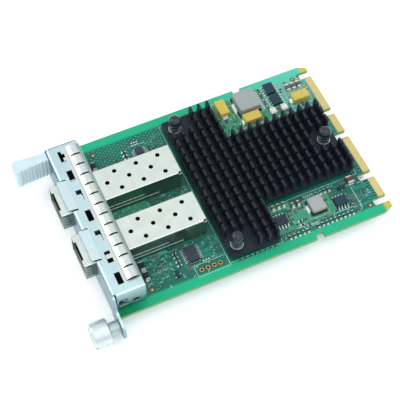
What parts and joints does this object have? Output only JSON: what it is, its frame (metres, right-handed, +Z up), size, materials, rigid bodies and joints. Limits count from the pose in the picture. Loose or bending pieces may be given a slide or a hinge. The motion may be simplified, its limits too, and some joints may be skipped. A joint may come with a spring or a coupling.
{
  "type": "network interface card",
  "caption": "Small server network card: slotted board with gold edge contacts, pin-fin heatsink, pluggable-module cages, folded faceplate, pull tab and captive thumbscrew.",
  "frame": {"origin": "on the board's centreline, at the faceplate's outer face and the board's underside", "axes": "+Y is the way the card slides into the server, +X is right as seen from the front, where the thumbscrew is, +Z is up from the board"},
  "size_m": [0.0832, 0.1288, 0.0188],
  "materials": {
    "board_laminate": "glass-fibre laminate under satin green solder mask",
    "contact_gold": "gold flash",
    "plate_zinc": "bright zinc, satin",
    "finger_sheet": "bright tinned spring sheet",
    "cage_sheet": "nickel plate, satin top",
    "connector_black": "moulded, matt",
    "heatsink_black": "black anodised",
    "thermal_pad_grey": "soft pad",
    "chip_package": "moulded epoxy, matt",
    "pin_black": "moulded nylon, satin",
    "spring_wire": "bright wire",
    "turned_steel": "turned and nickel plated",
    "screw_steel": "zinc plated",
    "pull_tab_plastic": "translucent moulding",
    "ferrite_grey": "pressed ferrite, matt",
    "tantalum_yellow": "moulded, satin",
    "solder_tin": "tin plate",
    "ceramic_brown": "fired ceramic",
    "resistor_black": "glazed"
  },
  "bodies": {
    "root": {"circuit_board": "board_laminate", "edge_contacts_top": "contact_gold", "edge_contacts_bottom": "contact_gold", "faceplate": "plate_zinc", "emi_finger_strip": "finger_sheet", "controller_chip": "chip_package", "thermal_pad": "thermal_pad_grey", "heatsink": "heatsink_black", "thumbscrew_sleeve": "turned_steel", "pull_tab": "pull_tab_plastic", "pull_tab_screws": "screw_steel", "bracket_screws": "screw_steel", "power_inductor_large": "ferrite_grey", "power_inductor_small": "ferrite_grey", "capacitor_terminals": "solder_tin", "chip_leads": "solder_tin", "ceramic_capacitors": "ceramic_brown", "chip_resistors": "resistor_black", "noise_filters": "resistor_black", "small_transistors": "chip_package", "underside_capacitors": "ceramic_brown", "sfp_cage_1": "cage_sheet", "sfp_cage_2": "cage_sheet", "sfp_connector_1": "connector_black", "sfp_connector_2": "connector_black", "sfp_contacts_1": "contact_gold", "sfp_contacts_2": "contact_gold", "push_pin_1": "pin_black", "push_pin_2": "pin_black", "push_pin_3": "pin_black", "push_pin_spring_1": "spring_wire", "push_pin_spring_2": "spring_wire", "push_pin_spring_3": "spring_wire", "tantalum_capacitor_1": "tantalum_yellow", "tantalum_capacitor_2": "tantalum_yellow", "tantalum_capacitor_3": "tantalum_yellow", "voltage_regulator_left": "chip_package", "voltage_regulator_right": "chip_package", "flash_memory_chip": "chip_package", "power_switch_chip": "chip_package", "clock_buffer_chip": "chip_package", "bus_expander_chip": "chip_package"},
    "thumbscrew_slide": {"thumbscrew_spring": "spring_wire"},
    "thumbscrew_turn": {"thumbscrew": "turned_steel"}
  },
  "joints": [
    {"name": "thumbscrew_press", "type": "slide", "parent": "root", "child": "thumbscrew_slide", "axis": [0, 1, 0], "range_m": [0, 0.0035], "stiffness_N_per_m": 800, "springref_m": -0.001, "deforming": ["thumbscrew_spring"]},
    {"name": "thumbscrew_turn", "type": "hinge", "parent": "thumbscrew_slide", "child": "thumbscrew_turn", "pos_m": [0.0402, -0.004, 0], "axis": [0, 1, 0], "continuous": true}
  ]
}
